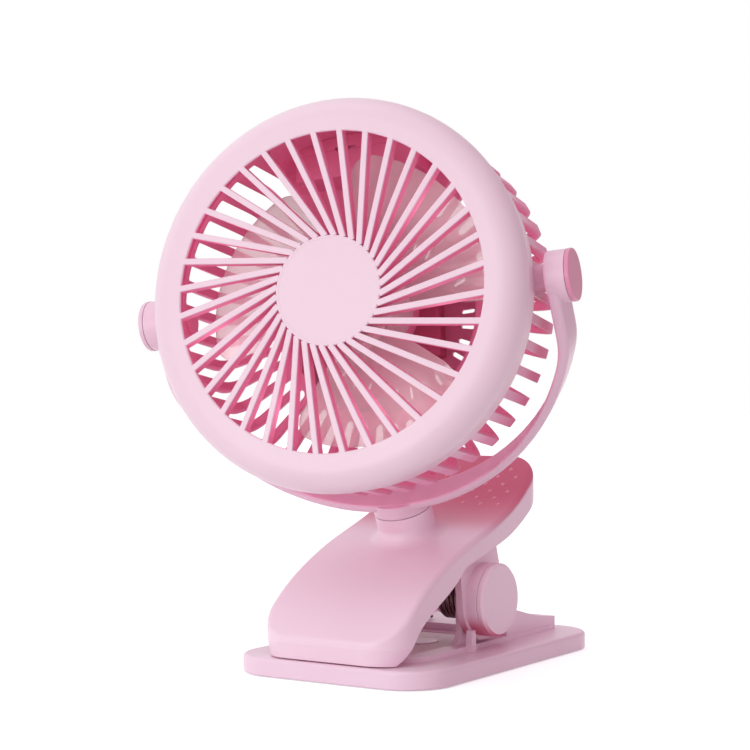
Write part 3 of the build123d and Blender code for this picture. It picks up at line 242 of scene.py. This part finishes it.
tailTop = softStep(clipShade, clipFacing.outputs["Z"], *clipSettings["tail facing"])
for factor in (tailHigh, tailTop, clipIn["Tail Amount"]):
    tail = doMath(clipShade, "MULTIPLY", tail, factor)
feed(clipShade, clipOut["Mask"], doMath(clipShade, "MAXIMUM", tail, under))
print("shader groups made")

surfaceSettings = {"bump reach": 0.0002, "deep rough": 0.7, "coat gone": 0.6}


def newMaterial(name, colour, rough=0.4, specks=0.0, grain=2600.0, bump=0.02, coat=0.0,
                deep=None, group=None, mask=None, **sockets):
    material = bpy.data.materials.new(name)
    material.use_nodes = True
    tree = material.node_tree
    shader = tree.nodes["Principled BSDF"]
    feed(tree, shader.inputs["Coat Weight"], coat)
    skin = addNode(tree, "ShaderNodeGroup", node_tree=mouldSkin)
    if group:  # painted shade: where the mask is full, the tone is the deep one and the gloss is gone
        shade = addNode(tree, "ShaderNodeGroup", node_tree=group)
        for label, value in (mask or {}).items():
            shade.inputs[label].default_value = value
        paintedShadeMask = shade.outputs["Mask"]
        colour = mixColour(tree, paintedShadeMask, colour, deep)
        rough = softStep(tree, paintedShadeMask, 0.0, 1.0, rough, surfaceSettings["deep rough"])
        coat = softStep(tree, paintedShadeMask, 0.0, surfaceSettings["coat gone"], coat, 0.0)
        feed(tree, shader.inputs["Coat Weight"], coat)
    values = {"Colour": colour, "Specks": specks, "Grain Scale": grain, "Rough": rough}
    for label, value in values.items():
        feed(tree, skin.inputs[label], value)
    bumpNode = addNode(tree, "ShaderNodeBump")
    bumpNode.inputs["Strength"].default_value = bump
    bumpNode.inputs["Distance"].default_value = surfaceSettings["bump reach"]
    feed(tree, bumpNode.inputs["Height"], skin.outputs["Height"])
    feed(tree, shader.inputs["Normal"], bumpNode.outputs["Normal"])
    feed(tree, shader.inputs["Base Color"], skin.outputs["Colour"])
    feed(tree, shader.inputs["Roughness"], skin.outputs["Rough"])
    for label, value in sockets.items():
        shader.inputs[label.replace("_", " ")].default_value = value
    return material


pinkTones = {
    # shell: deeper than the grille's pink, with painted shade on the same plastic
    "shell": (0.84, 0.48, 0.62),
    "grille": (0.89, 0.69, 0.79),
    "jaw": (0.95, 0.73, 0.85),
    "base": (0.92, 0.70, 0.83),
    "yoke": (0.86, 0.60, 0.73),
    # knob: the right knob cap's pink with painted shade; the left cap has the yoke's pink
    "knob": (0.78, 0.31, 0.46),
    # bead: a painted highlight along the head's seam
    "bead": (0.96, 0.84, 0.90),
    # dot: painted shade from the head, lighter than the tail's
    "dot": (0.94, 0.42, 0.52),
    # deep: painted shade, a deeper and hotter pink, in the head's recesses and inside
    "deep": (0.99, 0.33, 0.55),
    # hot: painted shade on the yoke's inner face
    "hot": (0.99, 0.55, 0.74),
    # rose: painted shade on the clip's undersides and on the tail's top under the head
    "rose": (0.70, 0.10, 0.21),
}
gloss = {"coat": 0.6, "Coat_Roughness": 0.35, "Coat_IOR": 1.6, "Specular_IOR_Level": 0.15}
# the head's parts take painted shade where they lie below the outside of their moulding
paintedShadeInside = {"deep": pinkTones["deep"], "group": paintedWallShade}
ringWall = {"Draft": 0.0014, "Start": 0.0003, "End": 0.0008, "Hub": 0.0178}
# the shell's outside takes painted shade behind the ring, as well as in its recesses
shellWall = {
    "Side": -1.0, "Face": 0.028, "Radius": 0.0639, "Start": 0.00035, "End": 0.0016, "Rim Glow": 0.5,
}
capWall = {"Side": -1.0, "Face": 0.0454, "Radius": 0.0357, "Round": 0.0016, "Start": 0.0003, "End": 0.0010}

finishSettings = {
    "shadedShellPink": dict(colour=pinkTones["shell"], rough=0.36, mask=shellWall, **paintedShadeInside, **gloss),
    "grillePink": dict(colour=pinkTones["grille"], rough=0.36, mask=ringWall, **paintedShadeInside, **gloss),
    "shadedCapPink": dict(colour=pinkTones["shell"], rough=0.36, mask=capWall, **paintedShadeInside, **gloss),
    "jawPink": dict(
        colour=pinkTones["jaw"], rough=0.42, bump=0.04, deep=pinkTones["rose"], group=clipShade, **gloss
    ),
    "yokePink": dict(
        colour=pinkTones["yoke"], rough=0.38, deep=pinkTones["hot"], group=yokeFaceShade, **gloss
    ),
    "basePink": dict(colour=pinkTones["base"], rough=0.40, bump=0.04, **gloss),
    "shadedKnobPink": dict(colour=pinkTones["knob"], rough=0.40, bump=0.04, **gloss),
    "seamHighlightPink": dict(colour=pinkTones["bead"], rough=0.30, bump=0.04, **gloss),
    "shadedDotPink": dict(colour=pinkTones["dot"], rough=0.35, bump=0.04, **gloss),
    "padGrey": dict(colour=(0.99, 0.96, 0.97), rough=0.75, specks=0.5, grain=1500.0, bump=0.3),
    "soleGrey": dict(colour=(0.30, 0.28, 0.29), rough=0.8, specks=0.5, grain=1500.0, bump=0.4),
    "screwSteel": dict(colour=(0.62, 0.61, 0.62), rough=0.3, Metallic=1.0),
    "motorSteel": dict(colour=(0.30, 0.24, 0.26), rough=0.35, Metallic=0.6),
    "springSteel": dict(colour=(0.20, 0.11, 0.12), rough=0.30, Metallic=0.9),
    "cellWrap": dict(colour=(0.78, 0.16, 0.32), rough=0.45),
    "boardGreen": dict(colour=(0.05, 0.22, 0.10), rough=0.4),
    "darkPlastic": dict(colour=(0.04, 0.04, 0.04), rough=0.4),
    "bladeClear": dict(colour=(0.90, 0.75, 0.78), rough=0.16, coat=1.0, Alpha=0.5),
    "lightWindow": dict(colour=(0.88, 0.90, 0.88), rough=0.2, Transmission_Weight=0.6),
}
finishes = {name: newMaterial(name, **settings) for name, settings in finishSettings.items()}

# the clear blades look denser where they are seen edge-on
bladeSettings = {"blend": 0.5, "facing": (0.25, 0.75), "alpha": (0.50, 0.88)}
bladeTree = finishes["bladeClear"].node_tree
bladeFacing = addNode(bladeTree, "ShaderNodeLayerWeight")
feed(bladeTree, bladeFacing.inputs["Blend"], bladeSettings["blend"])
bladeAlpha = softStep(
    bladeTree, bladeFacing.outputs["Facing"], *bladeSettings["facing"], *bladeSettings["alpha"]
)
feed(bladeTree, bladeTree.nodes["Principled BSDF"].inputs["Alpha"], bladeAlpha)

coats = {
    "shadedShellPink": ["rear_shell", "motor_mount", "control_box", "power_button"],
    "shadedCapPink": ["rear_cap"],
    # the right knob cap's pink carries painted shade
    "shadedKnobPink": ["knob_cap_right"],
    "grillePink": ["front_grille", "hub_disc"],
    "jawPink": ["upper_jaw", "clip_cap_left", "clip_cap_right"],
    "basePink": ["base_plate", "spring_sleeve"],
    "yokePink": ["yoke", "knob_cap_left"],
    "padGrey": ["base_pad"],
    "soleGrey": ["sole_pad"],
    "screwSteel": [
        "clip_pin", "neck_washer", "neck_screw", "pivot_washer_left", "pivot_washer_right",
        "pivot_screw_left", "pivot_screw_right", "motor_shaft",
        "mount_screw_1", "mount_screw_2", "mount_screw_3", "usb_inlet",
    ],
    "motorSteel": ["motor_can"],
    "springSteel": ["torsion_spring_left", "torsion_spring_right"],
    "cellWrap": ["battery_cell"],
    "boardGreen": ["control_board"],
    "darkPlastic": ["tact_switch"],
    "bladeClear": ["impeller"],
    "lightWindow": ["status_light"],
}
for finish, names in coats.items():
    for name in names:
        mesh = nodes[name].data
        mesh.materials.clear()
        mesh.materials.append(finishes[finish])
print("finishes on")


# what the small pieces are made with
def pickOnly(piece):
    bpy.ops.object.select_all(action="DESELECT")
    piece.select_set(True)
    bpy.context.view_layer.objects.active = piece


def copyPiece(source):
    piece = source.copy()
    piece.data = source.data.copy()
    bpy.context.collection.objects.link(piece)
    return piece


def keepPiece(piece, name, body):
    piece.name = name
    piece.data.name = name
    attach(piece, body)


def smoothPiece(piece, finish, angle=40.0):
    piece.data.materials.append(finishes[finish])
    pickOnly(piece)
    bpy.ops.object.shade_smooth_by_angle(angle=radians(angle))


def newBead(settings):
    # a flattened ring about the head's own axis
    bpy.ops.object.select_all(action="DESELECT")
    bpy.ops.mesh.primitive_torus_add(
        major_radius=settings["radius"], minor_radius=settings["thickness"] / 2,
        major_segments=settings["segments"], minor_segments=settings["sides"],
    )
    bead = bpy.context.object
    flatten = (1, 1, settings["flatness"])
    bpy.ops.object.mode_set(mode="EDIT")
    bpy.ops.mesh.select_all(action="SELECT")
    bpy.ops.transform.resize(value=flatten, orient_type="GLOBAL", center_override=(0, 0, 0))
    bpy.ops.object.mode_set(mode="OBJECT")
    bead.matrix_world = headPlace @ Matrix.Translation((0, 0, settings["depth"]))
    bpy.ops.object.transform_apply(location=True, rotation=True, scale=True)
    smoothPiece(bead, settings["finish"])
    return bead


# a bead along the head's seam, its pale tone a painted highlight
seamBeadSettings = {
    "radius": 0.06388, "thickness": 0.0007, "flatness": 0.34, "depth": 0.00468,
    "segments": 144, "sides": 8, "finish": "seamHighlightPink",
}
keepPiece(newBead(seamBeadSettings), "seamBead", "head")

# fills the fine groove round the hub disc
discBeadSettings = {
    "radius": 0.01733, "thickness": 0.00030, "flatness": 0.6, "depth": 0.02310,
    "segments": 144, "sides": 8, "finish": "grillePink",
}
keepPiece(newBead(discBeadSettings), "discBead", "head")
print("beads placed")

# tops on the tail's grip dots, in rows from the rear forward; their pink is painted shade from the head,
# paler than the tail's painted shade, as if their tops catch the light
gripSettings = {
    "radius": 0.00081,
    "cut": 0.000304,  # from a dot's centre up to the cap that stays
    "sunk": 0.00035,  # from the tail's surface down to a dot's centre
    "segments": 16, "rings": 12,
    "rows": 6, "first row": 0.03344, "row pitch": 0.0039,
    "columns": 6, "column pitch": 0.0073,
    "ray height": 0.2,
}


def tailSurface(y):
    # the tail seen from straight above, a quarter pitch off its middle, where no row has a dot
    above = Vector((gripSettings["column pitch"] / 4, y, gripSettings["ray height"]))
    spot, normal = nodes["upper_jaw"].ray_cast(above, Vector((0, 0, -1)))[1:3]
    return spot, normal


bpy.ops.object.select_all(action="DESELECT")
bpy.ops.mesh.primitive_uv_sphere_add(
    segments=gripSettings["segments"], ring_count=gripSettings["rings"], radius=gripSettings["radius"]
)
firstDot = bpy.context.object
bpy.ops.object.mode_set(mode="EDIT")
bpy.ops.mesh.select_all(action="SELECT")
bpy.ops.mesh.bisect(
    plane_co=(0, 0, gripSettings["cut"]), plane_no=(0, 0, 1), use_fill=True, clear_inner=True
)
bpy.ops.object.mode_set(mode="OBJECT")
dots = []
rowY = gripSettings["first row"]
for row in range(gripSettings["rows"]):
    surface, normal = tailSurface(rowY)
    centre = surface - gripSettings["sunk"] * normal
    lean = Matrix.Rotation(atan2(-normal.y, normal.z), 4, "X")
    columns = gripSettings["columns"] + row % 2
    for column in range(columns):
        dot = copyPiece(firstDot)
        centre.x = (column - (columns - 1) / 2) * gripSettings["column pitch"]
        dot.matrix_world = Matrix.Translation(centre) @ lean
        dots.append(dot)
    # the slope half way to the next row says how far forward that row lies
    slope = tailSurface(rowY - normal.z * gripSettings["row pitch"] / 2)[1]
    rowY -= slope.z * gripSettings["row pitch"]
bpy.data.objects.remove(firstDot, do_unlink=True)
pickOnly(dots[0])
for dot in dots:
    dot.select_set(True)
bpy.ops.object.transform_apply(location=True, rotation=True, scale=True)
bpy.ops.object.join()
smoothPiece(dots[0], "shadedDotPink")
keepPiece(dots[0], "gripDots", "jaw")
print("grip dots placed")

# torsion springs: the coil and lower leg stay with the base, the upper leg turns with the jaw
springSettings = {
    "coil radius": 0.0069,
    "leg angle": 62.0,  # degrees up from the rear
    "leg side": 0.01978,  # from the middle of the clip to the leg's root
    "leg start": 0.0001,  # from its root to the cut
    "slope": 0.0397,  # sideways run of the wire
    "wire reach": 0.00075,
    "merge": 0.000002,
}
clipPivot = Vector(joints["jaw_open"]["pos_m"])


def closeCut(piece):
    pickOnly(piece)
    bpy.ops.object.mode_set(mode="EDIT")
    bpy.ops.mesh.select_mode(type="EDGE")
    bpy.ops.mesh.select_all(action="DESELECT")
    bpy.ops.mesh.select_non_manifold()
    bpy.ops.mesh.edge_face_add()
    bpy.ops.object.mode_set(mode="OBJECT")


def splitSpring(node, side):
    angle = radians(springSettings["leg angle"])
    legRoot = clipPivot + springSettings["coil radius"] * Vector((0, sin(angle), -cos(angle)))
    legRoot.x = side * springSettings["leg side"]
    legAlong = Vector((side * springSettings["slope"], cos(angle), sin(angle))).normalized()
    coil = copyPiece(node)
    pickOnly(coil)
    bpy.ops.object.mode_set(mode="EDIT")
    bpy.ops.mesh.select_all(action="SELECT")
    bpy.ops.mesh.remove_doubles(threshold=springSettings["merge"])
    bpy.ops.mesh.select_mode(type="FACE")
    bpy.ops.mesh.select_all(action="DESELECT")
    bpy.ops.object.mode_set(mode="OBJECT")
    for face in coil.data.polygons:
        fromRoot = face.center - legRoot
        along = fromRoot.dot(legAlong)
        aside = (fromRoot - along * legAlong).length
        face.select = along > springSettings["leg start"] and aside < springSettings["wire reach"]
    bpy.ops.object.mode_set(mode="EDIT")
    bpy.ops.mesh.separate(type="SELECTED")
    bpy.ops.object.mode_set(mode="OBJECT")
    leg = next(piece for piece in bpy.context.selected_objects if piece != coil)
    closeCut(coil)
    closeCut(leg)
    return coil, leg


for side, sideName in ((-1, "left"), (1, "right")):
    nodeName = f"torsion_spring_{sideName}"
    coil, leg = splitSpring(nodes[nodeName], side)
    keepPiece(coil, f"springCoil_{sideName}", "base")
    keepPiece(leg, f"springLeg_{sideName}", "jaw")
    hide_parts(nodeName)
    print(nodeName, "faces of coil and leg", len(coil.data.polygons), len(leg.data.polygons))

# white floor that keeps the fan's shadow
floorSettings = {"size": 6.0, "drop": 0.0002, "glow": 0.55, "tone": 0.80}


def cameraGlow(tree, base, strength):
    # plain white light that only the camera, mirrors and glass see
    path = addNode(tree, "ShaderNodeLightPath").outputs
    seen = path["Is Camera Ray"]
    for label in ("Is Glossy Ray", "Is Transmission Ray"):
        seen = doMath(tree, "MAXIMUM", seen, path[label])
    glow = addNode(tree, "ShaderNodeEmission")
    feed(tree, glow.inputs["Color"], (1, 1, 1))
    feed(tree, glow.inputs["Strength"], doMath(tree, "MULTIPLY", seen, strength))
    total = addNode(tree, "ShaderNodeAddShader")
    feed(tree, total.inputs[0], base)
    feed(tree, total.inputs[1], glow.outputs[0])
    return total.outputs[0]


bpy.ops.object.select_all(action="DESELECT")
bpy.ops.mesh.primitive_plane_add(size=floorSettings["size"], location=(0, 0, -floorSettings["drop"]))
floor = bpy.context.object
floor.name = "floor"
floorMaterial = bpy.data.materials.new("paleFloor")
floorMaterial.use_nodes = True
floorTree = floorMaterial.node_tree
floorTree.nodes.remove(floorTree.nodes["Principled BSDF"])
floorBase = addNode(floorTree, "ShaderNodeBsdfDiffuse")
feed(floorTree, floorBase.inputs["Color"], (floorSettings["tone"],) * 3)
floorSeen = cameraGlow(floorTree, floorBase.outputs[0], floorSettings["glow"])
feed(floorTree, floorTree.nodes["Material Output"].inputs["Surface"], floorSeen)
floor.data.materials.append(floorMaterial)

# soft room light, dimmer and pinker on the right, and plain white where the camera sees it
worldSettings = {
    "bright": 0.92, "dim": 0.48, "towards": (-0.90, -0.36, 0.25), "span": (-0.9, 0.6),
    "seen": 1.0, "shade tint": (1.0, 0.70, 0.81),
}
world = bpy.data.worlds.new("studio")
bpy.context.scene.world = world
world.use_nodes = True
worldTree = world.node_tree
surround = worldTree.nodes["Background"]
worldSeen = addNode(worldTree, "ShaderNodeLightPath").outputs["Is Camera Ray"]
facing = addNode(worldTree, "ShaderNodeVectorMath", operation="DOT_PRODUCT")
feed(worldTree, facing.inputs[0], addNode(worldTree, "ShaderNodeTexCoord").outputs["Generated"])
feed(worldTree, facing.inputs[1], worldSettings["towards"])
brightSide = softStep(worldTree, facing.outputs["Value"], *worldSettings["span"])
worldLight = softStep(worldTree, brightSide, 0.0, 1.0, worldSettings["dim"], worldSettings["bright"])
worldAmount = softStep(worldTree, worldSeen, 0.0, 1.0, worldLight, worldSettings["seen"])
feed(worldTree, surround.inputs["Strength"], worldAmount)
whiteShare = doMath(worldTree, "MAXIMUM", brightSide, worldSeen)
worldTint = mixColour(worldTree, whiteShare, worldSettings["shade tint"], (1, 1, 1))
feed(worldTree, surround.inputs["Color"], worldTint)
print("floor and room made")

lampAim = Vector((0, -0.03, 0.11))
lampSettings = {
    "keyLamp": {"place": (-0.208, -1.275, 0.489), "power": 1.2, "size": 0.65},
    "topLamp": {"place": (-0.2, -0.3, 1.3), "power": 1.3, "size": 0.9},
    "lowLamp": {"place": (-0.10, -0.95, 0.06), "power": 1.7, "size": 0.4},
}
for name, settings in lampSettings.items():
    bpy.ops.object.light_add(type="AREA", location=settings["place"])
    lamp = bpy.context.object
    lamp.name = name
    lamp.data.energy = settings["power"]
    lamp.data.size = settings["size"]
    lamp.rotation_euler = (lampAim - lamp.location).to_track_quat("-Z", "Y").to_euler()

# faint bounce light between the grille and the blades, where the real plastic lets some through
bounceSettings = {
    "count": 6, "radius": 0.042, "depth": 0.015,
    "phase": 150.0, "step": 48.0,  # degrees about the head's axis
    "power": 0.0022, "size": 0.006,
}
for index in range(bounceSettings["count"]):
    angle = radians(bounceSettings["phase"] + bounceSettings["step"] * index)
    inHead = bounceSettings["radius"] * Vector((cos(angle), sin(angle), 0))
    inHead.z = bounceSettings["depth"]
    bpy.ops.object.light_add(type="POINT", location=headPlace @ inHead)
    lamp = bpy.context.object
    lamp.name = f"bounceLamp{index + 1}"
    lamp.data.energy = bounceSettings["power"]
    lamp.data.shadow_soft_size = bounceSettings["size"]
    lamp.visible_camera = False
    lamp.visible_glossy = False
print("lamps placed")

cameraSettings = {
    "place": (0.347212, -0.549018, 0.10322),
    "turn": (89.744, 0.294, 33.683),  # degrees
    "lens": 88.05,
    "near": 0.01,
}
bpy.ops.object.camera_add(location=cameraSettings["place"])
camera = bpy.context.object
camera.rotation_euler = [radians(angle) for angle in cameraSettings["turn"]]
camera.data.lens = cameraSettings["lens"]
camera.data.clip_start = cameraSettings["near"]
bpy.context.scene.camera = camera
bpy.context.scene.view_settings.view_transform = "Standard"
print("camera set")
